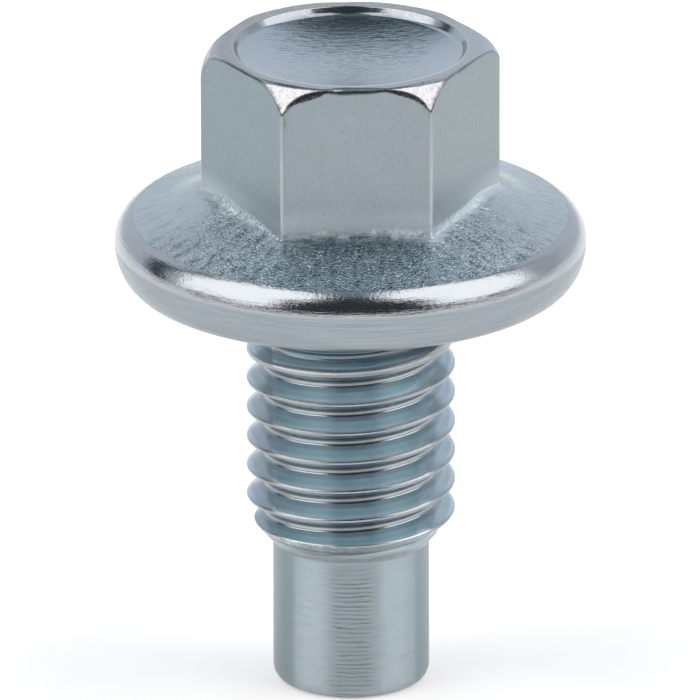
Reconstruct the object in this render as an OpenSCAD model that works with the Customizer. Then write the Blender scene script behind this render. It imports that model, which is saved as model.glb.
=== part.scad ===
// Oil drain plug: hexagon flange head, coarse right-hand thread and plain pilot point, in millimetres.
// One forged and turned piece. The origin is the middle of the flange's seat face, on the thread's axis.
// +Z points to the head, -Z down the shank to the pilot's flat end.

/* [Head] */
// Width across the hexagon's flats
head_af = 14.7; // [14.4:0.05:15]
// Height of the head's flat top rim above the seat
head_top = 14; // [12.5:0.1:15]
// Radius of the rounded edges between the flats
head_edge_r = 0.25; // [0.2:0.05:0.8]
// Radius where the domed crown leaves the top rim
crown_r = 7.3; // [7.1:0.05:7.34]
// Radial depth of the crown's curve, just past the corners
crown_w = 1.17; // [1.12:0.01:1.3]
// Height of the crown's curve
crown_h = 1.95; // [1:0.05:2.4]
// Radius of the dish in the head's top
dish_r = 6.6; // [6:0.05:6.9]
// Depth of the dish at its wall
dish_wall = 0.4; // [0.2:0.05:0.8]
// Depth of the dish at its middle
dish_depth = 1.1; // [0.5:0.05:1.5]

/* [Flange] */
// Diameter of the flange
flange_d = 26.7; // [25:0.1:28]
// Diameter of the flat seat under the flange
seat_d = 23.7; // [22:0.1:23.9]
// Height at which the round rim is widest
rim_h = 2.4; // [1.8:0.05:2.6]
// Radius of the smooth round band's upper edge
band_r = 12.4; // [12:0.05:12.8]
// Height of the smooth round band's upper edge
band_h = 3.8; // [3.3:0.05:4]
// Height of the flange's cone where it meets the flats
cone_h = 5.3; // [4.6:0.05:6]

/* [Thread] */
// Diameter over the thread's crests
thread_d = 11.85; // [11.7:0.05:12]
// Thread pitch, right-hand
pitch = 1.75; // [1.5:0.25:1.75]
// Diameter at the thread's root
root_d = 9.76; // [9.6:0.02:9.9]
// Width of the flat land on the crest
crest_w = 0.2; // [0.16:0.02:0.36]
// Diameter of the plain neck under the flange
neck_d = 10.2; // [10:0.1:11]
// Length of the plain neck under the flange
neck_l = 2.6; // [2.2:0.1:2.8]
// Distance from the seat to the end of the full crests
thread_end = 13.9; // [12:0.1:15]
// Length of the cone from the crests to the pilot
lead_l = 1.8; // [1.5:0.1:2.5]

/* [Pilot] */
// Diameter of the plain pilot point
pilot_d = 8.85; // [8.4:0.05:9.2]
// Distance from the seat to the pilot's flat end
tip = 23.95; // [22:0.05:27]
// Radial depth of the rounded chamfer on the end
tip_chamfer = 0.55; // [0.3:0.05:0.9]
// Height of the rounded chamfer on the end
tip_chamfer_h = 0.75; // [0.4:0.05:1.2]

/* [Hidden] */
$fn = 96;
crest_r = thread_d/2;
root_r = root_d/2;
flange_r = flange_d/2;
seat_r = seat_d/2;
neck_r = neck_d/2;
pilot_r = pilot_d/2;
neck_fillet = 0.6;
rim_step = 0.05;               // the crown starts this far below the rim
steps = 30;                    // steps a turn along the thread's groove
groove_top = -neck_l - 0.35;   // height of the groove's middle where its run-out ends
groove_end = -thread_end - lead_l - 1.4;
groove_phase = 180;            // the groove's middle is at height groove_z on this side
groove_z = -5.07;
cut_r = crest_r + 0.15;        // the groove's cutter ends just outside the crests

// Points of an ellipse's arc around (cr, cz), from angle a0 to a1
function arc(cr, cz, rr, rz, a0, a1, n) =
    [for (i = [0:n]) let (a = a0 + (a1 - a0)*i/n) [cr + rr*cos(a), cz + rz*sin(a)]];

// Outline of the flange, shank and pilot, turned about the axis
function turned_outline() = let (
        a_band = acos((band_r - seat_r)/(flange_r - seat_r)))
    concat(
        [[0, -tip]],
        // rounded chamfer on the pilot's end
        arc(pilot_r - tip_chamfer, -tip + tip_chamfer_h, tip_chamfer, tip_chamfer_h, -90, 0, 5),
        [[pilot_r, -thread_end - lead_l],
         [crest_r, -thread_end],
         [crest_r, -neck_l - 0.85],
         [neck_r, -neck_l]],
        // fillet under the flange
        arc(neck_r + neck_fillet, -neck_fillet, neck_fillet, neck_fillet, 180, 90, 5),
        // seat and the rim's rounded underside
        arc(seat_r, rim_h, flange_r - seat_r, rim_h, -90, 0, 8),
        // smooth round band above the rim
        [for (i = [1:6]) let (a = a_band*i/6)
            [seat_r + (flange_r - seat_r)*cos(a), rim_h + (band_h - rim_h)*sin(a)/sin(a_band)]],
        [[head_af/2, cone_h],
         [0, cone_h]]);

// Corners of the hexagon, each rounded
function hex_outline() = let (
        c = head_af/2/cos(30) - head_edge_r/cos(30), n = 4)
    [for (k = [0:5], i = [0:n]) let (m = 60*k, a = m - 30 + 60*i/n)
        [c*cos(m) + head_edge_r*cos(a), c*sin(m) + head_edge_r*sin(a)]];

// Hexagon under a domed crown, which leaves an arched top edge on each flat; its bottom is inside the flange's cone
module hexagon() {
    crown_z = head_top - rim_step - crown_h;
    t0 = 12;                   // below this the curve runs on as a straight line past the corners
    out = 0.4;
    intersection() {
        translate([0, 0, rim_h]) linear_extrude(head_top - rim_h) polygon(hex_outline());
        rotate_extrude() polygon(concat(
            [[0, 0], [crown_r + crown_w*cos(t0) + out, 0],
             [crown_r + crown_w*cos(t0) + out, crown_z + crown_h*(sin(t0) - out/crown_w/tan(t0))]],
            arc(crown_r, crown_z, crown_w, crown_h, t0, 90, 8),
            [[crown_r - 0.2, head_top], [0, head_top]]));
    }
}

// Dish in the head's top: a short steep wall and a floor that deepens to the middle
module dish() {
    floor_r = dish_r - 0.25;
    rotate_extrude() polygon(concat(
        [[0, head_top + 1], [0, head_top - dish_depth]],
        [for (i = [1:6]) let (u = i/6)
            [floor_r*u, head_top - dish_depth + (dish_depth - dish_wall)*u*u]],
        [[dish_r, head_top], [dish_r + 0.6, head_top + 1]]));
}

// Section of the thread's groove as [radius, height], 60 degrees between the flanks, moved out by s
function groove_section(s) = let (
        wo = (pitch - crest_w)/2 + (cut_r - crest_r)*tan(30),
        wr = (pitch - crest_w)/2 - (crest_r - root_r - 0.06)*tan(30))
    [[cut_r + s, wo], [root_r + 0.06 + s, wr], [root_r + s, wr*0.5],
     [root_r + s, -wr*0.5], [root_r + 0.06 + s, -wr], [cut_r + s, -wo]];

// The groove: its section carried down the helix, fading out over the last half turn under the neck
module groove() {
    a_top = groove_phase + (groove_top - groove_z)*360/pitch;
    a_end = groove_phase + (groove_end - groove_z)*360/pitch;
    n = ceil((a_top - a_end)*steps/360);
    m = 6;
    points = [for (i = [0:n]) let (
            a = a_end + (a_top - a_end)*i/n,
            z = groove_z + pitch*(a - groove_phase)/360,
            fade = max(0, 1 - (a_top - a)/200),
            s = (crest_r - root_r + 0.1)*fade)
        each [for (p = groove_section(s)) [p[0]*cos(a), p[0]*sin(a), z + p[1]]]];
    sides = [for (i = [0:n - 1], j = [0:m - 1]) let (
            p = i*m + j, q = i*m + (j + 1)%m)
        each [[p, q + m, p + m], [p, q, q + m]]];
    // the end caps, as fans
    first = [for (j = [1:m - 2]) [0, j + 1, j]];
    last = [for (j = [1:m - 2]) [n*m, n*m + j, n*m + j + 1]];
    polyhedron(points = points, faces = concat(sides, first, last), convexity = 12);
}

module drain_plug() {
    color([0.63, 0.68, 0.71]) difference() {
        union() {
            rotate_extrude() polygon(turned_outline());
            hexagon();
        }
        dish();
        groove();
    }
}

drain_plug();
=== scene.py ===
"""Oil drain plug: one zinc-plated steel piece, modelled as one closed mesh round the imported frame."""
import math

import bpy
import numpy as np
from mathutils import Matrix, Vector


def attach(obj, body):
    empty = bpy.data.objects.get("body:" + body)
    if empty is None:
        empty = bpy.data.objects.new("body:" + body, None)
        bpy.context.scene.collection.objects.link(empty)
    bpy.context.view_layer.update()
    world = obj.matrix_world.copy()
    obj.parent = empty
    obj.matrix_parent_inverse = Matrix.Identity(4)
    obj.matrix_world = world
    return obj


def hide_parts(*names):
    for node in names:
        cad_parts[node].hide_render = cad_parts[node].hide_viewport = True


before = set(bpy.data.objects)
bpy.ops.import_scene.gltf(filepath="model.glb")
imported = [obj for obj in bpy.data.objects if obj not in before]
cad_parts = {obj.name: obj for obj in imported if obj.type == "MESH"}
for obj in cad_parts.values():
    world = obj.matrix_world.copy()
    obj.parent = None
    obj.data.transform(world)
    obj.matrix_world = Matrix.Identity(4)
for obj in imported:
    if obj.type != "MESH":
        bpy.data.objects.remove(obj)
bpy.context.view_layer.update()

MM = 0.001
sin, cos, pi = math.sin, math.cos, math.pi
rad = math.radians

# ---------------------------------------------------------------- dimensions, mm
TOP = 13.955        # head's flat rim
AF2 = 7.35          # half the width across the flats
EDGE_R = 0.21       # rounding of the vertical edges
CONE_Z, CONE_R = 5.3, 7.37
BAND_R, BAND_Z = 12.4, 3.8
SEAT_R, RIM_R, RIM_Z = 11.85, 13.36, 2.4
NECK_R, NECK_FILLET = 5.1, 0.6
CREST_R, ROOT_R, PITCH, CREST_W = 5.92, 4.88, 1.75, 0.19
GROOVE_Z = -5.07    # height of the groove's middle on the -X side
PILOT_R, PILOT_Z, TIP = 4.43, -15.68, -23.95
CONE_SLOPE = (CONE_Z - BAND_Z) / (BAND_R - CONE_R)

# the domed crown: start radius, radial depth and height of its curve, and the small step between it and the rim
CROWN_R, CROWN_W, CROWN_H, RIM_STEP = 7.3, 1.16, 1.95, 0.005
# how much of that height the curve comes down at each corner of the hexagon, from +X round
CROWN = [0.5, 0.9, 1.0, 1.0, 1.2, 1.17]
# and the part of its depth after which it runs on straight
CURVED = [1.0, 1.0, 1.0, 1.0, 0.8, 0.8]


def lerp(a, b, t):
    return a + (b - a) * t


def smooth(t):
    t = min(1.0, max(0.0, t))
    return t * t * (3 - 2 * t)


def round_poly(points, radii, segs):
    """The polyline with each inner corner replaced by an arc of that radius in that many segments."""
    out = [points[0]]
    for i in range(1, len(points) - 1):
        p, q, s = (np.array(points[i + k], float) for k in (-1, 0, 1))
        u, v = (p - q) / np.linalg.norm(p - q), (s - q) / np.linalg.norm(s - q)
        turn = pi - math.acos(max(-1, min(1, float(u @ v))))
        radius, n = radii[i - 1], segs[i - 1]
        if radius <= 0 or turn < 1e-4:
            out.append(tuple(q))
            continue
        t = radius * math.tan(turn / 2)
        centre = q + (u + v) / np.linalg.norm(u + v) * radius / cos(turn / 2)
        a, b = q + u * t - centre, q + v * t - centre
        for k in range(n + 1):
            w = k / n
            d = a * sin((1 - w) * turn) + b * sin(w * turn)
            out.append(tuple(centre + d / sin(turn)))
    out.append(points[-1])
    return out


# ---------------------------------------------------------------- head and flange
C0 = (AF2 - EDGE_R) / cos(rad(30))
EDGE_T = math.degrees(math.atan2(EDGE_R * 0.5, C0 + EDGE_R * cos(rad(30))))


def hex_r(d):
    """Radius of the rounded hexagon d degrees from a corner."""
    a = rad(abs(d))
    if abs(d) <= EDGE_T:
        return C0 * cos(a) + math.sqrt(EDGE_R**2 - (C0 * sin(a)) ** 2)
    return AF2 / cos(rad(30) - a)


def crown_curve(c, cm):
    """Drop and slope of the crown's curve at part c of its depth: an ellipse, straight after cm."""
    m = min(c, cm, 0.9999)
    k = m / math.sqrt(1 - m * m)
    return 1 - math.sqrt(1 - m * m) + (min(c, 0.9999) - m) * k, k


def top_z(r, drop, cm):
    """Height of the rim, its small step and the domed crown."""
    if r < CROWN_R:
        return TOP - RIM_STEP * smooth((r - 7.06) / 0.2)
    return TOP - RIM_STEP - CROWN_H * drop * crown_curve((r - CROWN_R) / CROWN_W, cm)[0]


def crown_rows(R, drop, ball, cm):
    """Points from the rim, over the crown and round the edge onto the side, in the (radius, height) plane."""
    steep = CROWN_H * drop / CROWN_W
    turn = math.atan2(1, max(0.0, crown_curve(max(0.0, (R - CROWN_R) / CROWN_W), cm)[1] * steep))
    q = R - ball * max(0.55, math.tan(turn / 2)) * sin(turn)
    rows = [(min(r, q), top_z(min(r, q), drop, cm)) for r in (6.85, 7.06, 7.11, 7.16, 7.21, 7.26, 7.3)]
    cq = max(0.0, (q - CROWN_R) / CROWN_W)
    for k in range(1, 9):
        r = CROWN_R + CROWN_W * sin(math.asin(cq) * k / 8) if cq > 0 else q
        rows.append((r, top_z(r, drop, cm)))
    p0 = rows[-1]
    p1 = (R, p0[1] - (R - q) * crown_curve(cq, cm)[1] * steep)
    p2 = (R, p1[1] - math.hypot(p1[0] - p0[0], p1[1] - p0[1]))
    for k in range(1, 7):
        u = k / 6
        rows.append(tuple((1 - u) ** 2 * a + 2 * u * (1 - u) * b + u * u * d for a, b, d in zip(p0, p1, p2)))
    return rows


def dish_rows():
    floor, out = 6.33, []
    for i in range(13):
        r = floor * (i / 13) ** 0.85 if i else 0.0
        out.append((r, TOP - 1.0 + 0.58 * (r / floor) ** 2))
    path = [out[-1], (floor, TOP - 0.42), (6.61, TOP), (6.9, TOP)]
    return out[:-1] + round_poly(path, (0.45, 0.1), (7, 4))[:-1]


DISH = dish_rows()


def cone_z(r, th):
    """Height of the flange's cone, a little flattened at the front flat and raised at the two side corners."""
    low = 0.15 * smooth((-sin(th) - 0.8) / 0.12) * smooth((8.7 - r) / 1.2)
    high = 0.3 * smooth((abs(cos(th)) - 0.85) / 0.13) * smooth((10.8 - r) / 2.4)
    return CONE_Z - (r - CONE_R) * CONE_SLOPE - low + high


def upper_rows(theta):
    k = int(round(theta / 60.0)) % 6
    d = (theta - 60 * k + 180) % 360 - 180
    R = hex_r(d)
    # the crown of neighbouring corners blends over the middle of each flat
    w = 0.5 * smooth((abs(d) - 20) / 10)
    other = (k + (1 if d > 0 else -1)) % 6
    drop, cm = lerp(CROWN[k], CROWN[other], w), lerp(CURVED[k], CURVED[other], w)
    th = rad(theta)
    # the crown's edge is well rounded on the front flat and sharper round the back
    ball = lerp(0.09, 0.43, smooth(-sin(th))) * (1 + 0.10 * sin(11 * th + 1.3) + 0.07 * sin(29 * th) + 1.3 * smooth(1 - abs(abs(theta - 270) - 23) / 10) * smooth((31.5 - abs(theta - 270)) / 3))
    crown = crown_rows(R, drop, ball, cm)
    rows = list(DISH)
    rows += crown
    # side of the hexagon, its fillet, wider towards the two side corners, and the flange's cone
    al, f = math.atan(CONE_SLOPE), 0.17 - 0.08 * smooth((-sin(th) - 0.8) / 0.1) + 0.42 * smooth((abs(cos(th)) - 0.5) / 0.4)
    cr = R + f
    cz = cone_z(cr, th) + f / cos(al)
    z0 = rows[-1][1]
    rows += [(R, lerp(z0, cz, t)) for t in (0.15, 0.35, 0.55, 0.75, 0.93)]
    rows += [(cr + f * cos(a), cz + f * sin(a)) for a in (lerp(pi, 1.5 * pi - al, t) for t in (0, 0.17, 0.33, 0.5, 0.67, 0.83, 1))]
    r0 = rows[-1][0]
    for t in (0.12, 0.26, 0.42, 0.58, 0.74, 0.88, 0.97, 1.0):
        r = lerp(r0, BAND_R - 0.05, t)
        rows.append((r, cone_z(r, th)))
    # round band, rim and underside
    t1 = math.acos((BAND_R - SEAT_R) / (RIM_R - SEAT_R))
    bz = (BAND_Z - RIM_Z) / sin(t1)
    for i in range(13):
        t = t1 * (1 - i / 12)
        rows.append((SEAT_R + (RIM_R - SEAT_R) * cos(t), RIM_Z + bz * sin(t)))
    for i in range(1, 11):
        t = -pi / 2 * i / 10
        rows.append((SEAT_R + (RIM_R - SEAT_R) * cos(t), RIM_Z + RIM_Z * sin(t)))
    rows += [(9.9, 0.0), (7.9, 0.0)]
    rows += [(NECK_R + NECK_FILLET - NECK_FILLET * sin(a), -NECK_FILLET + NECK_FILLET * cos(a)) for a in (pi / 2 * i / 5 for i in range(6))]
    rows += [(NECK_R, -1.2), (NECK_R, -1.75), (NECK_R, -2.2)]
    return rows


# ---------------------------------------------------------------- thread
BODY = round_poly(
    [(NECK_R, -2.2), (NECK_R, -2.4), (5.72, -2.62), (CREST_R, -3.5), (CREST_R, -13.95), (PILOT_R, PILOT_Z), (PILOT_R, -16.8)],
    (0.15, 0.12, 1.5, 0.7, 0.25),
    (4, 5, 6, 10, 6),
)
BODY_Z = np.array([-p[1] for p in BODY])
BODY_R = np.array([p[0] for p in BODY])


def body_r(z):
    return float(np.interp(-z, BODY_Z, BODY_R))


T30 = math.tan(rad(30))
ROOT_HALF = (PITCH - CREST_W) / 2 - (CREST_R - ROOT_R) * T30
ROOT_F = 0.27


def groove_r(u):
    """Radius of the groove's wall at height u from its middle, the root's corners rounded."""
    u = abs(u)
    a = ROOT_HALF - ROOT_F * T30
    b = a + ROOT_F * cos(rad(30))
    if u <= a:
        return ROOT_R
    if u <= b:
        return ROOT_R + ROOT_F - math.sqrt(ROOT_F**2 - (u - a) ** 2)
    return ROOT_R + (u - ROOT_HALF) / T30


def fade(a):
    """How far the groove's floor has risen, in mm, at unwrapped angle a: it runs out into the neck."""
    return 0.34 * smooth((a - 515) / 95) + 1.0 * smooth((a - 670) / 50)


def shank_r(z, zn, lift):
    g, b = groove_r(z - zn) + lift, body_r(z)
    k = 0.17
    h = max(k - abs(g - b), 0) / k
    return min(g, b) - h * h * k / 4


SCAN = np.linspace(0.0, PITCH / 2 - 0.08, 41)
WALL = np.array([groove_r(u) for u in SCAN])


def edge_u(zn, lift, side):
    """Where the groove's wall meets the body on one side of its middle."""
    deep = np.nonzero(WALL + lift < np.interp(-(zn + side * SCAN), BODY_Z, BODY_R))[0]
    if not len(deep):
        return 0.15
    if deep[-1] == len(SCAN) - 1:
        return float(SCAN[-1])
    lo, hi = SCAN[deep[-1]], SCAN[deep[-1] + 1]
    for _ in range(16):
        m = (lo + hi) / 2
        if groove_r(m) + lift > body_r(zn + side * m):
            hi = m
        else:
            lo = m
    return max(0.15, float(lo))


THREAD_TOP, THREAD_END = -2.2, -15.58
KNOTS = 22


def thread_rows(theta):
    """[(key, radius, height)] down the threaded part of one column; keys run on round the helix."""
    out = []
    for n in range(3, -9, -1):
        zn = GROOVE_Z + PITCH * (theta - 180) / 360 + PITCH * n
        if zn > THREAD_TOP + 1.2 or zn < THREAD_END - 1.2:
            continue
        lift = fade(theta + 360 * n)
        sides = []
        for side in (1, -1):
            ue = edge_u(zn, lift, side)
            m = min(1.0, ue / 0.3)
            near = [min(u, c * ue) for u, c in ((0.05, 0.15), (0.11, 0.3), (0.17, 0.45), (0.24, 0.6))]
            a6 = ue - 0.06 * m
            sides.append(near + [lerp(near[-1], a6, 1 / 3), lerp(near[-1], a6, 2 / 3), a6, ue - 0.02 * m, ue + 0.02 * m, ue + 0.055 * m])
        us = [PITCH / 2] + sides[0][::-1] + [0.0] + [-u for u in sides[1]]
        for j, u in enumerate(us):
            z = zn + u
            if THREAD_TOP - 0.02 > z > THREAD_END + 0.02:
                out.append((1000 - n * KNOTS + j, shank_r(z, zn, lift), z))
    return out


def lower_rows():
    rows = [(body_r(z), z) for z in (THREAD_END, -15.64, -15.70, -15.76, -15.85, -16.1)]
    rows += [(PILOT_R, z) for z in (-17.5, -19.5, -21.5, -23.0)]
    a, b = 0.54, 0.74
    rows += [(PILOT_R - a + a * cos(t), TIP + b - b * sin(t)) for t in (pi / 2 * i / 7 for i in range(8))]
    rows += [(2.6, TIP), (1.2, TIP), (0.0, TIP)]
    return rows


LOWER = lower_rows()


# ---------------------------------------------------------------- mesh
def column_angles():
    near = [0, 0.3, 0.6, 0.9, 1.2, 1.6, 2.1, 2.8]
    half = near + [2.8 + (30 - 2.8) * i / 22 for i in range(1, 23)]
    offsets = [-a for a in half[:0:-1]] + half[:-1]
    angles = sorted((60 * k + d) % 360 for k in range(6) for d in offsets)
    return angles


def build_mesh():
    angles = column_angles()
    verts, faces, columns = [(0, 0, DISH[0][1])], [], []
    for theta in angles:
        c, s = cos(rad(theta)), sin(rad(theta))
        rows = [(i, r, z) for i, (r, z) in enumerate(upper_rows(theta))]
        rows += [(10000 + k, r, z) for k, r, z in thread_rows(theta)]
        rows += [(20000 + i, r, z) for i, (r, z) in enumerate(LOWER)]
        column, last = [(0, 0)], (0.0, DISH[0][1])
        for key, r, z in rows[1:-1]:
            if math.hypot(r - last[0], z - last[1]) < 0.004:
                continue
            verts.append((r * c, r * s, z))
            column.append((key, len(verts) - 1))
            last = (r, z)
        columns.append(column)
    verts.append((0, 0, TIP))
    end = len(verts) - 1
    for column in columns:
        column.append((30000, end))
    n = len(columns)
    for i in range(n):
        A, B = columns[i], columns[(i + 1) % n]
        if i == n - 1:  # a turn further on, the same groove is one pitch higher
            B = [(k + KNOTS if 10000 <= k < 20000 else k, v) for k, v in B]
        a = b = 0
        while a < len(A) - 1 or b < len(B) - 1:
            ka = A[a + 1][0] if a < len(A) - 1 else 1e9
            kb = B[b + 1][0] if b < len(B) - 1 else 1e9
            if ka == kb:
                f = (A[a][1], A[a + 1][1], B[b + 1][1], B[b][1])
                a, b = a + 1, b + 1
            elif ka < kb:
                f = (A[a][1], A[a + 1][1], B[b][1])
                a += 1
            else:
                f = (A[a][1], B[b + 1][1], B[b][1])
                b += 1
            f = tuple(dict.fromkeys(f))
            if len(f) > 2:
                faces.append(f)
    return np.array(verts) * MM, faces


verts, faces = build_mesh()
mesh = bpy.data.meshes.new("drain_plug_body")
mesh.from_pydata([tuple(v) for v in verts], [], faces)
mesh.validate()
mesh.update()
plug = bpy.data.objects.new("plug_body", mesh)
bpy.context.scene.collection.objects.link(plug)

# normals weighted by face area, so the flat faces shade flat and the small roundings turn between them
normals = np.zeros((len(mesh.vertices), 3))
for p in mesh.polygons:
    w = p.area * np.array(p.normal)
    for v in p.vertices:
        normals[v] += w
normals /= np.linalg.norm(normals, axis=1)[:, None] + 1e-30
mesh.polygons.foreach_set("use_smooth", [True] * len(mesh.polygons))
mesh.normals_split_custom_set_from_vertices([tuple(n) for n in normals])

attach(plug, "root")
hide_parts("drain_plug")


# ---------------------------------------------------------------- shader helpers
class Sock:
    """A node socket that arithmetic works on, so that patterns read as formulas."""

    def __init__(self, tree, socket):
        self.tree, self.s = tree, socket

    def _math(self, op, *args, clamp=False):
        n = self.tree.nodes.new("ShaderNodeMath")
        n.operation, n.use_clamp = op, clamp
        for i, v in enumerate((self,) + args):
            if isinstance(v, Sock):
                self.tree.links.new(v.s, n.inputs[i])
            else:
                n.inputs[i].default_value = float(v)
        return Sock(self.tree, n.outputs[0])

    def __add__(self, o):
        return self._math("ADD", o)

    def __sub__(self, o):
        return self._math("SUBTRACT", o)

    def __mul__(self, o):
        return self._math("MULTIPLY", o)

    def __truediv__(self, o):
        return self._math("DIVIDE", o)

    __radd__ = __add__
    __rmul__ = __mul__

    def __rsub__(self, o):
        return self._math("MULTIPLY_ADD", -1.0, o)

    def abs(self):
        return self._math("ABSOLUTE")

    def sqrt(self):
        return self._math("SQRT")

    def pow(self, e):
        return self._math("POWER", e)

    def max(self, o):
        return self._math("MAXIMUM", o)

    def min(self, o):
        return self._math("MINIMUM", o)

    def clamp(self):
        return self._math("ADD", 0.0, clamp=True)

    def step(self, lo, hi):
        """0 below lo and 1 above hi, smooth between; hi may be the smaller."""
        n = self.tree.nodes.new("ShaderNodeMapRange")
        n.interpolation_type = "SMOOTHSTEP"
        flip = hi < lo
        for i, v in ((0, self), (1, min(lo, hi)), (2, max(lo, hi)), (3, 1.0 if flip else 0.0), (4, 0.0 if flip else 1.0)):
            if isinstance(v, Sock):
                self.tree.links.new(v.s, n.inputs[i])
            else:
                n.inputs[i].default_value = v
        return Sock(self.tree, n.outputs[0])

    def band(self, lo, hi, soft):
        return self.step(lo - soft, lo + soft) * self.step(hi + soft, hi - soft)


def vector(tree, x, y, z):
    n = tree.nodes.new("ShaderNodeCombineXYZ")
    for i, v in enumerate((x, y, z)):
        if isinstance(v, Sock):
            tree.links.new(v.s, n.inputs[i])
        else:
            n.inputs[i].default_value = v
    return n.outputs[0]


def separate(tree, socket):
    n = tree.nodes.new("ShaderNodeSeparateXYZ")
    tree.links.new(socket, n.inputs[0])
    return [Sock(tree, n.outputs[i]) for i in range(3)]


def mix_color(tree, fac, a, b):
    n = tree.nodes.new("ShaderNodeMix")
    n.data_type = "RGBA"
    n.clamp_factor = True
    for key, v in ((0, fac), (6, a), (7, b)):
        if isinstance(v, Sock):
            tree.links.new(v.s, n.inputs[key])
        elif key == 0:
            n.inputs[0].default_value = v
        else:
            n.inputs[key].default_value = (*v, 1)
    return Sock(tree, n.outputs[2])


def noise(tree, x, y, z, detail=2.0, rough=0.5, distort=0.0):
    """Noise from -1 to 1 or nearly so, at that point."""
    n = tree.nodes.new("ShaderNodeTexNoise")
    n.inputs["Scale"].default_value = 1.0
    n.inputs["Detail"].default_value = detail
    n.inputs["Roughness"].default_value = rough
    n.inputs["Distortion"].default_value = distort
    tree.links.new(vector(tree, x, y, z), n.inputs["Vector"])
    return (Sock(tree, n.outputs[0]) - 0.5) * 2.0


# ---------------------------------------------------------------- materials
class Zinc:
    """Zinc-plated steel: colour, roughness and height patterns in millimetres, laid out round the part's own axis."""

    def __init__(self, name, anisotropy=0.0):
        self.m = bpy.data.materials.new(name)
        self.m.use_nodes = True
        self.t = t = self.m.node_tree
        self.b = t.nodes["Principled BSDF"]
        self.b.inputs["Metallic"].default_value = 1.0
        if anisotropy:
            self.b.inputs["Anisotropic"].default_value = anisotropy
            self.b.inputs["Anisotropic Rotation"].default_value = 0.25
        tc = t.nodes.new("ShaderNodeTexCoord")
        self.x, self.y, self.z = (a * 1000.0 for a in separate(t, tc.outputs["Object"]))
        self.r = (self.x * self.x + self.y * self.y).sqrt().max(0.01)
        self.ux, self.uy = self.x / self.r, self.y / self.r


    def turn(self, z0, pitch):
        """Height in mm from the middle of the right-hand groove that is at height z0 on the -X side."""
        n = (self.z - z0) / pitch - self.y._math("ARCTAN2", self.x) / (2 * pi)
        return (n._math("FRACT") - 0.5) * pitch

    def polar(self, k, kr, kz, **opts):
        """Noise stretched round the axis: k sets its length round, kr and kz its closeness along the radius and height."""
        return noise(self.t, self.ux * k, self.uy * k, self.r * kr + self.z * kz, **opts)

    def grain(self, k, kz=None, **opts):
        return noise(self.t, self.x * k, self.y * k, self.z * (kz or k), **opts)

    def tint(self, fac, a, b):
        return mix_color(self.t, fac, a, b)

    def finish(self, color, rough, height):
        t = self.t
        t.links.new(color.s, self.b.inputs["Base Color"])
        t.links.new(rough.s, self.b.inputs["Roughness"])
        bump = t.nodes.new("ShaderNodeBump")
        bump.inputs["Strength"].default_value = 1.0
        bump.inputs["Distance"].default_value = 0.001
        t.links.new(height.s, bump.inputs["Height"])
        t.links.new(bump.outputs[0], self.b.inputs["Normal"])
        mesh.materials.append(self.m)


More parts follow.
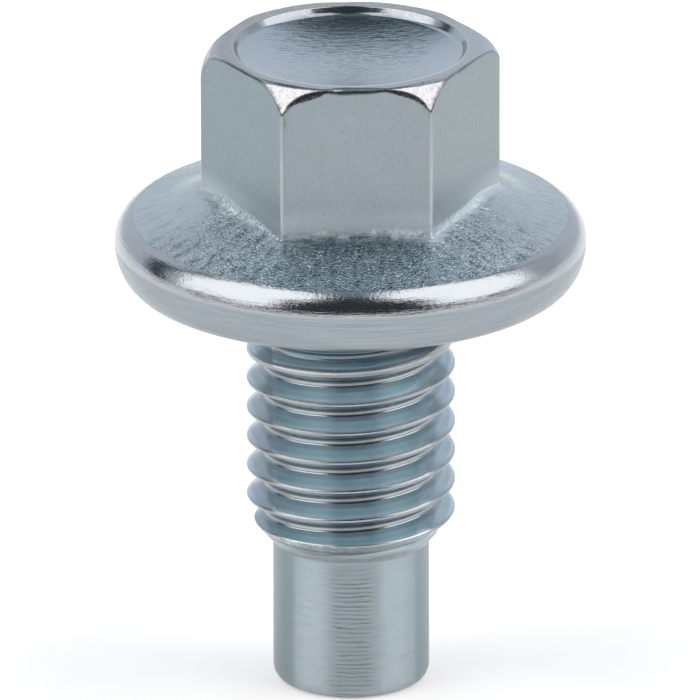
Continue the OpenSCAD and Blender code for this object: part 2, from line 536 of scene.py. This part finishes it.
def head_material():
    m = Zinc("zinc_head")
    dish = m.r.step(6.5, 6.3) * m.z.step(12.5, 12.6)
    a, b = m.x * cos(rad(30)), m.y * 0.5
    across = m.y.abs().max((a + b).abs()).max((a - b).abs())
    flat = across.step(7.29, 7.345) * (1 - dish)
    edge = m.r.step(8.405, 8.44) * m.z.step(12.6, 12.0)
    burr = (m.z + m.grain(3.2, 1.1, detail=3.0, rough=0.7) * 0.45).step(5.7, 5.35) * flat
    blotch = m.grain(0.55, detail=3.0)
    speck = m.grain(4.5, detail=2.0)
    lines = m.grain(5.0, 0.35, detail=3.0, rough=0.6)
    ripple = noise(m.t, m.x * 1.3, m.y * 6.0, m.z, detail=2.5, rough=0.65, distort=0.3)
    dash = m.grain(12.0, 3.0, detail=2.0)
    rag = m.grain(5.0, detail=3.0, rough=0.7)
    # height above the crown's curve, and a rough dark arch along the top of the front flat under the crown's edge: a
    # painted dark reflection
    q = ((m.r - CROWN_R) / CROWN_W).max(0.0)
    bend = q.min(CURVED[4])
    above = m.z - (TOP - RIM_STEP) + (1 - (1 - bend * bend).sqrt() + (q - bend) * (CURVED[4] / math.sqrt(1 - CURVED[4] ** 2))) * (CROWN_H * 1.18)
    front = m.y.step(-7.2, -7.28) * m.x.abs().step(4.05, 3.9)
    depth = 0.10 + (m.x.abs() - 2.6).abs().step(1.15, 0.2) * (0.11 + 0.13 * m.x.step(0.5, -0.5)) - m.x.abs().step(3.4, 4.0) * 0.05
    arch = front * (above + rag * 0.12 + depth).step(-0.05, 0.05)
    thin = across.band(7.22, 7.32, 0.03) * (1 - dish) * m.z.step(11.6, 11.9) * m.y.step(-7.2, -7.1)
    mottle = m.grain(2.6, detail=3.0, rough=0.7)
    middle = (m.x.abs() + blotch * 0.8).step(5.2, 3.4)
    crown = (1 - flat) * (1 - dish)
    c = m.tint(blotch.step(-0.35, 0.35), (0.285, 0.34, 0.355), (0.305, 0.345, 0.375))
    c = m.tint((speck * 0.6 + lines * 0.4).step(-0.1, 0.6) * flat * 0.7, c, (0.24, 0.295, 0.31))
    # painted shade: the flats towards -X and the front-right flat are darkened
    c = m.tint(m.x.step(-3.6, -4.6) * flat * 0.8, c, (0.225, 0.285, 0.315))
    c = m.tint(m.x.step(3.9, 4.6) * m.y.step(0.5, -0.5) * flat * 0.5, c, (0.23, 0.285, 0.305))
    c = m.tint(crown, c, (0.355, 0.37, 0.385))
    # painted light: the crown is lighter on its front side
    c = m.tint(crown * m.uy.step(-0.3, -0.7), c, (0.43, 0.465, 0.48))
    c = m.tint(crown * m.r.step(7.4, 7.8), c, (0.50, 0.49, 0.51))
    c = m.tint(crown * m.r.step(7.5, 7.8) * (rag + mottle * 0.6).step(-0.2, 0.5) * 0.8, c, (0.25, 0.235, 0.255))
    # painted shade over the crown's highlight at the +X and -X corners
    c = m.tint(crown * m.r.step(7.9, 8.2) * m.ux.abs().step(0.9, 0.97), c, (0.22, 0.24, 0.25))
    c = m.tint(crown * mottle.step(-0.1, 0.3) * 0.7, c, (0.46, 0.445, 0.445))
    # painted light: the crown is lighter round the +X corner
    c = m.tint(crown * m.x.step(4.5, 6.5) * m.y.abs().step(5.0, 3.0) * 0.8, c, (0.46, 0.49, 0.51))
    c = m.tint(dish, c, (0.425, 0.485, 0.53))
    # a pale ring on the rim round the dish, faint all round, with a painted highlight at the front
    c = m.tint(m.r.band(6.6, 6.8, 0.04) * m.z.step(13.8, 13.9) * (0.15 + 0.65 * m.uy.step(-0.3, -0.65)), c, (0.66, 0.64, 0.64))
    # painted shade: a darker patch at the front middle of the dish, broken up by the ripple
    c = m.tint(dish * m.x.abs().step(3.4, 0.8) * m.y.step(1.0, -2.5) * (0.35 + ripple * 0.8).clamp(), c, (0.30, 0.345, 0.39))
    c = m.tint(dish * blotch.step(0.0, 0.35) * 0.5, c, (0.44, 0.46, 0.53))
    c = m.tint(dish * ripple.step(-0.05, -0.28) * m.y.step(-2.5, 1.0) * middle * 0.75, c, (0.175, 0.21, 0.23))
    # painted shade: the dish darkens towards its back wall
    c = m.tint(dish * (m.y + ripple * 1.8 - m.x.abs() * 0.25).step(3.0, 5.3) * (m.x.abs() + ripple * 0.8).step(5.3, 4.3) * 0.75, c, (0.155, 0.185, 0.205))
    c = m.tint(edge * (0.3 + 0.4 * m.z.step(11.5, 9.0)) * (0.8 + m.grain(1.5) * 0.4), c, (0.47, 0.48, 0.495))
    # painted light: the lower part of the flats is lighter
    c = m.tint(flat * m.z.step(7.1, 5.6) * 0.8, c, (0.44, 0.505, 0.535))
    c = m.tint(burr * (m.grain(1.7, detail=4.0, rough=0.65) + m.x * 0.07).step(-0.15, 0.3) * 0.7, c, (0.80, 0.87, 0.91))
    c = m.tint(flat * dash.step(0.0, 0.5) * 0.4, c, (0.235, 0.285, 0.30))
    c = m.tint(flat * dash.step(0.0, -0.5) * 0.4, c, (0.35, 0.40, 0.42))
    # painted shade: a thin dark line along the top edge of the flats, except the front one
    c = m.tint(thin * (0.45 + rag * 0.6).clamp(), c, (0.08, 0.085, 0.095))
    # painted dark reflection: the rough arch on the front flat
    c = m.tint(arch * (0.92 + rag * 0.25).clamp(), c, (0.035, 0.04, 0.045))
    # a soft dark spot on the edge left of the front flat
    dark_spot = (((m.x + 4.03) * 2.0).pow(2.0) + ((m.z - 12.0) * 0.75).pow(2.0)).sqrt() + m.grain(3.0) * 0.08
    dark_spot = dark_spot.step(0.34, 0.06) * m.y.step(-7.2, -7.28)
    c = m.tint(dark_spot * 0.55, c, (0.18, 0.175, 0.20))
    rough = 0.17 + 0.17 * flat + 0.03 * speck - 0.04 * edge - 0.02 * dish
    height = flat * (lines * 0.0030 + speck * 0.0026) + burr * m.grain(3.4, 2.2, detail=3.0) * 0.025 + dish * (ripple * m.r.step(6.3, 5.9) * (0.004 + 0.0065 * middle) + m.grain(3.0) * 0.003) + arch * rag * 0.03 + crown * m.grain(2.2, detail=3.0) * 0.005
    m.finish(c, rough, height)


def flange_material():
    m = Zinc("zinc_flange")
    cone = (m.r + m.grain(1.2) * 0.1).step(12.5, 12.25) * m.z.step(3.3, 3.6)
    band = (1 - cone) * m.z.step(2.3, 2.55)
    rim = (1 - cone) * (1 - band)
    near_hex = (m.r + m.grain(0.9) * 0.7).step(9.4, 8.2) * cone
    # the forged skin is coarser on the front than round the sides and back
    coarse = cone * (0.22 + 0.78 * (m.uy + m.grain(0.35) * 0.15).step(-0.25, -0.75))
    wrinkle = m.polar(28.0, 1.1, 0.0, detail=2.5, rough=0.6)
    grit = m.grain(7.5, detail=2.0, rough=0.7)
    fleck = m.grain(5.2, detail=2.5, rough=0.75)
    sides = m.ux.abs().step(0.25, 0.8)
    blotch = m.grain(0.5, detail=3.0)
    turned = m.polar(3.5, 0.0, 16.0, detail=3.0, rough=0.65)
    streak = m.polar(5.0, 0.0, 5.0, detail=4.0, rough=0.7)
    ragged = m.polar(40.0, 0.0, 4.0, detail=3.0, rough=0.7)
    c = m.tint(blotch.step(-0.35, 0.35), (0.30, 0.395, 0.45), (0.325, 0.41, 0.465))
    # painted light: the cone is lighter round its sides, except at the back
    c = m.tint(sides * m.uy.step(0.6, 0.1), c, (0.47, 0.53, 0.555))
    c = m.tint(coarse * (grit * 0.8 + wrinkle * 0.4).step(0.02, -0.25) * 0.95, c, (0.08, 0.14, 0.175))
    c = m.tint(coarse * (fleck + wrinkle * 0.3).step(0.15, 0.36) * 0.85, c, (0.76, 0.84, 0.89))
    c = m.tint(coarse * sides * wrinkle.step(-0.1, -0.35) * m.r.step(8.8, 10.0) * 0.7, c, (0.15, 0.19, 0.21))
    a, b = m.x * cos(rad(30)), m.y * 0.5
    across = m.y.abs().max((a + b).abs()).max((a - b).abs())
    foot = (across + m.grain(3.0, detail=3.0) * 0.5).step(8.2, 7.45)
    # painted shade on the fillet at the foot of the front flat
    c = m.tint(across.step(7.5, 7.44) * cone * m.y.step(-7.2, -7.3) * 0.8, c, (0.15, 0.19, 0.21))
    clump = m.grain(1.7, detail=4.0, rough=0.65)
    c = m.tint(foot * cone * (clump + m.x.abs() * 0.03 + m.x * 0.05).step(-0.1, 0.25) * 0.65, c, (0.64, 0.70, 0.74))
    c = m.tint(near_hex * (grit + wrinkle * 0.4).step(0.15, 0.6) * 0.5, c, (0.66, 0.70, 0.72))
    c = m.tint(band, c, (0.42, 0.44, 0.46))
    c = m.tint(band * (streak + turned * 0.5).step(0.15, 0.8) * 0.5, c, (0.22, 0.23, 0.235))
    c = m.tint(rim, c, (0.305, 0.35, 0.375))
    c = m.tint(rim * (turned + streak * 0.5).step(0.0, 0.3) * 0.5, c, (0.39, 0.41, 0.42))
    c = m.tint(rim * (turned + streak * 0.5).step(-0.05, -0.3) * 0.45, c, (0.215, 0.25, 0.27))
    rough = 0.14 + 0.12 * cone + 0.16 * foot * cone + 0.02 * blotch + 0.17 * rim + 0.05 * turned * rim
    height = coarse * (grit * 0.038 + wrinkle * 0.035 + fleck * 0.012)
    height = height + band * (turned * 0.0040 + streak * 0.011 + ragged * 0.004 + m.grain(1.2) * 0.004 + m.grain(6.0) * 0.0035) + rim * (turned * 0.0045 + streak * 0.004)
    height = height + near_hex * m.grain(3.5, detail=3.0) * 0.03
    m.finish(c, rough, height)


def thread_material():
    m = Zinc("zinc_thread")
    neck = m.z.step(-3.3, -2.7)
    front = (m.uy + m.polar(2.0, 0.0, 1.0) * 0.02).step(-0.96, -0.992)
    blotch = m.grain(0.8, detail=3.0)
    lines = m.polar(3.0, 3.0, 9.0, detail=3.0, rough=0.65)
    u = m.turn(GROOVE_Z, PITCH) + m.grain(2.0) * 0.02
    crest = m.r.step(5.72, 5.84)
    root = u.band(-0.10, 0.14, 0.04) * m.r.step(5.25, 5.1) * m.z.step(-14.2, -14.0)
    fillet = u.band(-0.36, -0.13, 0.04) * m.r.step(5.4, 5.2) * m.z.step(-14.2, -14.0)
    shoulder = (m.ux.abs() + m.polar(2.0, 0.0, 1.0) * 0.05).band(0.32, 0.75, 0.12)
    # painted light and shade on the thread's two outer sides in X: lighter towards +X, darker towards -X
    side = (m.x + 0.15).abs()
    side = side.step(4.34, 4.5) * side.step(5.9, 5.1)
    cone = (m.r - m.z * 0.86 + m.grain(1.5) * 0.04).step(17.82, 17.88) * m.z.step(-14.05, -14.25)
    c = m.tint((blotch + lines * 0.3).step(-0.35, 0.35), (0.31, 0.425, 0.455), (0.38, 0.455, 0.515))
    # painted light: the flanks are lighter in four sectors between the front, back and sides
    c = m.tint(m.ux.abs().band(0.28, 0.62, 0.12) * 0.6, c, (0.45, 0.56, 0.60))
    # painted light towards +X, painted shade towards -X
    c = m.tint(side * m.x.step(-1.0, 1.0) * 0.42, c, (0.56, 0.605, 0.665))
    c = m.tint(side * m.x.step(1.0, -1.0) * 0.5, c, (0.27, 0.315, 0.345))
    top = m.z.band(-3.9, -3.3, 0.1)
    # painted highlight: the top turn under the neck is lighter, except at the outer sides
    c = m.tint(top * (1 - side) * 0.75, c, (0.66, 0.77, 0.83))
    # painted highlight on the crest's upper edge, weaker at the front and not at the outer sides
    c = m.tint(m.r.band(5.60, 5.82, 0.06) * u.step(-0.25, -0.4) * (1 - side) * (0.35 - 0.2 * front), c, (0.66, 0.72, 0.76))
    c = m.tint(crest, c, (0.36, 0.40, 0.425))
    # painted light: the crest's tone changes at its sides and front
    c = m.tint(crest * shoulder, c, (0.38, 0.395, 0.41))
    c = m.tint(crest * front * 0.7, c, (0.39, 0.455, 0.505))
    # painted shade on the top crest under the flange, deeper at the front
    c = m.tint(crest * m.z.step(-4.3, -4.1) * (0.2 + 0.6 * m.uy.step(-0.9, -0.98)), c, (0.20, 0.225, 0.24))
    # painted highlight: a thin bright line along the crest's upper edge
    c = m.tint(u.band(-0.77, -0.66, 0.025) * m.r.step(5.6, 5.7) * (1 - side) * (0.7 - 0.3 * front), c, (0.62, 0.67, 0.71))
    c = m.tint(root, c, (0.30, 0.32, 0.335))
    # painted highlight on the groove's root round the sides
    c = m.tint(root * shoulder, c, (0.42, 0.435, 0.445))
    # painted shade on the root at the front and towards -X
    c = m.tint(root * front * 0.7, c, (0.20, 0.215, 0.23))
    c = m.tint(root * m.x.step(-3.3, -3.8) * 0.5, c, (0.20, 0.225, 0.24))
    # painted shade in the groove's lower fillet, deeper at the front
    c = m.tint(fillet * (0.4 - 0.05 * front), c, (0.20, 0.225, 0.245))
    c = m.tint(fillet * front * 0.4, c, (0.12, 0.14, 0.16))
    # painted shade on the neck under the flange, lighter towards +X, and a dark band of painted shade below it where
    # the thread starts
    c = m.tint(neck * 0.8, c, (0.245, 0.325, 0.37))
    c = m.tint(neck * m.x.step(1.0, 3.0) * 0.5, c, (0.30, 0.37, 0.41))
    c = m.tint(m.z.band(-3.12, -2.6, 0.08) * 0.5, c, (0.06, 0.08, 0.095))
    lip = m.z + m.grain(1.4, detail=3.0) * 0.1
    c = m.tint(cone * 0.95, c, (0.37, 0.43, 0.455))
    c = m.tint(m.z.step(-14.9, -15.05) * 0.95, c, (0.41, 0.47, 0.495))
    # painted shade: a dark band at the front just above the pilot
    c = m.tint(m.z.band(-15.3, -15.0, 0.12) * m.uy.step(-0.7, -0.95) * 0.7, c, (0.25, 0.265, 0.27))
    c = m.tint(cone * lip.step(-14.62, -14.5), c, (0.37, 0.405, 0.425))
    c = m.tint(cone * lip.step(-14.62, -14.5) * m.polar(7.0, 0.0, 2.0, detail=3.0, rough=0.7).step(-0.12, 0.2) * m.x.step(0.5, -1.5), c, (0.68, 0.665, 0.66))
    c = m.tint(cone * lip.band(-14.8, -14.66, 0.03) * 0.8, c, (0.17, 0.20, 0.21))
    c = m.tint(cone * m.grain(2.6, detail=3.0, rough=0.7).step(0.0, 0.35) * 0.6, c, (0.26, 0.30, 0.315))
    rough = 0.22 + 0.05 * blotch + 0.06 * crest + 0.1 * neck + 0.15 * cone
    height = lines * 0.0022 + m.grain(3.0) * (0.0012 + 0.012 * cone)
    m.finish(c, rough, height)


def pilot_material():
    m = Zinc("zinc_pilot", anisotropy=0.8)
    side = m.r.step(4.2, 4.35)
    blotch = m.grain(0.6, detail=3.0)
    wander = m.polar(1.2, 0.0, 0.8, detail=2.0)
    wave = ((m.z + wander * 0.22) * (2 * pi / 0.27))._math("SINE")
    fine = m.polar(2.2, 0.0, 9.0, detail=4.0, rough=0.7)
    strong = (m.ux + 0.03 + m.polar(2.4, 0.0, 1.4, detail=3.0) * 0.10).abs().step(0.31, 0.17) * m.y.step(0.0, -1.0) * m.z.step(-15.5, -17.2)
    c = m.tint(blotch.step(-0.35, 0.35), (0.385, 0.45, 0.48), (0.41, 0.47, 0.505))
    # painted shade at the pilot's two edges in X
    c = m.tint((m.x.step(-3.2, -3.5) + m.x.step(3.3, 3.7)).clamp() * 0.7, c, (0.265, 0.33, 0.35))
    # painted light: lighter bands between the middle and the edges in X
    c = m.tint(m.x.abs().band(1.5, 3.0, 0.3) * 0.6, c, (0.45, 0.515, 0.565))
    c = m.tint(fine.step(0.05, -0.4) * 0.5, c, (0.29, 0.335, 0.355))
    c = m.tint(side * m.grain(7.0, 9.0, detail=2.0).step(0.0, 0.6) * 0.35, c, (0.31, 0.365, 0.39))
    # turning lines drawn dark only in a strip down the front middle: real lines with painted dark reflection
    c = m.tint((wave + fine * (1.7 + 1.5 * m.z.step(-19.5, -17.5))).step(0.4, 1.1) * strong * 0.68, c, (0.18, 0.21, 0.22))
    rough = 0.44 + 0.05 * fine
    height = side * (wave * (0.0010 + 0.0022 * strong) + fine * 0.009) + m.grain(3.0) * 0.0008
    m.finish(c, rough, height)


head_material()
flange_material()
thread_material()
pilot_material()
index = []
for p in mesh.polygons:
    q = p.center / MM
    r = math.hypot(q.x, q.y)
    across = max(abs(q.x * cos(a) + q.y * sin(a)) for a in (pi / 6, pi / 2, 5 * pi / 6))
    if q.z > 4.8 and across < AF2 + 0.01:
        index.append(0)
    elif q.z > -0.02 and (r > 5.8 or q.z > 0.2):
        index.append(1)
    else:
        index.append(2 if q.z > THREAD_END else 3)
mesh.polygons.foreach_set("material_index", index)
mesh.update()

# ---------------------------------------------------------------- floor
z_floor = TIP * MM
bpy.ops.mesh.primitive_plane_add(size=6.0, location=(0, 0, z_floor))
floor = bpy.context.object
floor.name = "floor"
fm = bpy.data.materials.new("floor_pale")
fm.use_nodes = True
fb = fm.node_tree.nodes["Principled BSDF"]
fb.inputs["Base Color"].default_value = (0.90, 0.89, 0.88, 1)
fb.inputs["Emission Color"].default_value = (1.0, 0.95, 0.91, 1)
fb.inputs["Emission Strength"].default_value = 0.29
fb.inputs["Roughness"].default_value = 0.9
fb.inputs["Specular IOR Level"].default_value = 0.1
floor.data.materials.append(fm)


# ---------------------------------------------------------------- light
# A light tent: white side panels, a pale back wall, a dim ceiling and the dark opening on the photographer's side.
world = bpy.data.worlds.new("studio")
bpy.context.scene.world = world
world.use_nodes = True
wt = world.node_tree
tc = wt.nodes.new("ShaderNodeTexCoord")
X, Y, Z = separate(wt, tc.outputs["Generated"])
ax = X.abs()
left = X.step(0.02, -0.02)
sky = mix_color(wt, Y.step(0.10, -0.12), (0.25, 0.37, 0.45), (0.05, 0.06, 0.07))
back = ax.step(0.25, 0.42)  # the back wall is low in the middle and higher at both sides
Zt = Z - ax.step(0.08, 0.20) * 0.30 + back * 0.06
seam = Zt.step(0.50, 0.54) * (Zt + back * 0.12).step(0.71, 0.65) * Y.step(0.2, 0.4)
sky = mix_color(wt, seam, sky, (0.06, 0.07, 0.075))
wall = (Y - Z * 0.35 + ax.step(0.58, 0.48) * 0.18).step(0.38, 0.46) * ((Zt - 0.48) / (0.05 - back * 0.035)).step(1.0, -1.0)
sky = mix_color(wt, wall, sky, (0.74, 0.80, 0.88))
side = Y - Z * 0.32 - (Z - 0.5).max(0.0) * 0.45
gap = (Y - Z * 0.35).step(0.46, 0.38) * side.step(-0.02, 0.05) * ax.step(0.50, 0.60) * Z.step(0.8, 0.7)
dark = left * (Y - Z * 0.35).step(0.14, 0.22)
sky = mix_color(wt, gap * dark, sky, (0.06, 0.07, 0.08))
sky = mix_color(wt, gap * (1 - dark), sky, (0.60, 0.64, 0.70))
opening = Z * Z * -0.60 + 0.70 + Z.band(0.62, 0.80, 0.06) * 0.09
panel = (ax - opening).step(-0.03, 0.03) * side.step(0.03, -0.03) * Z.step(0.995, 0.985)
sky = mix_color(wt, panel, sky, (2.0, 2.0, 2.02))
skirting = Z.step(0.22, 0.19) * Y.step(0.1, -0.1)
sky = mix_color(wt, skirting, sky, (0.08, 0.085, 0.09))
sky = mix_color(wt, Z.step(0.0, -0.01), sky, (0.97, 0.97, 0.97))
bg = wt.nodes["Background"]
wt.links.new(sky.s, bg.inputs["Color"])
bg.inputs["Strength"].default_value = 1.0

# ---------------------------------------------------------------- camera
cam = bpy.data.cameras.new("camera")
cam.sensor_width = 36.0
cam.lens = 17.65 * 1500 * 36 / 700
cam.clip_start, cam.clip_end = 0.01, 20
co = bpy.data.objects.new("camera", cam)
bpy.context.scene.collection.objects.link(co)
AZ, EL, DIST = rad(2.7), rad(20.5), 1.5
away = Vector((-sin(AZ) * cos(EL), -cos(AZ) * cos(EL), sin(EL)))
right = Vector((cos(AZ), -sin(AZ), 0))
target = Vector((0, 0, -4.38 * MM)) - right * (0.7 / 17.65 * MM)
co.location = target + away * DIST
co.rotation_euler = ((-away).to_track_quat("-Z", "Y").to_matrix() @ Matrix.Rotation(rad(-0.11), 3, "Z")).to_euler()
bpy.context.scene.camera = co

bpy.context.scene.view_settings.view_transform = "Standard"
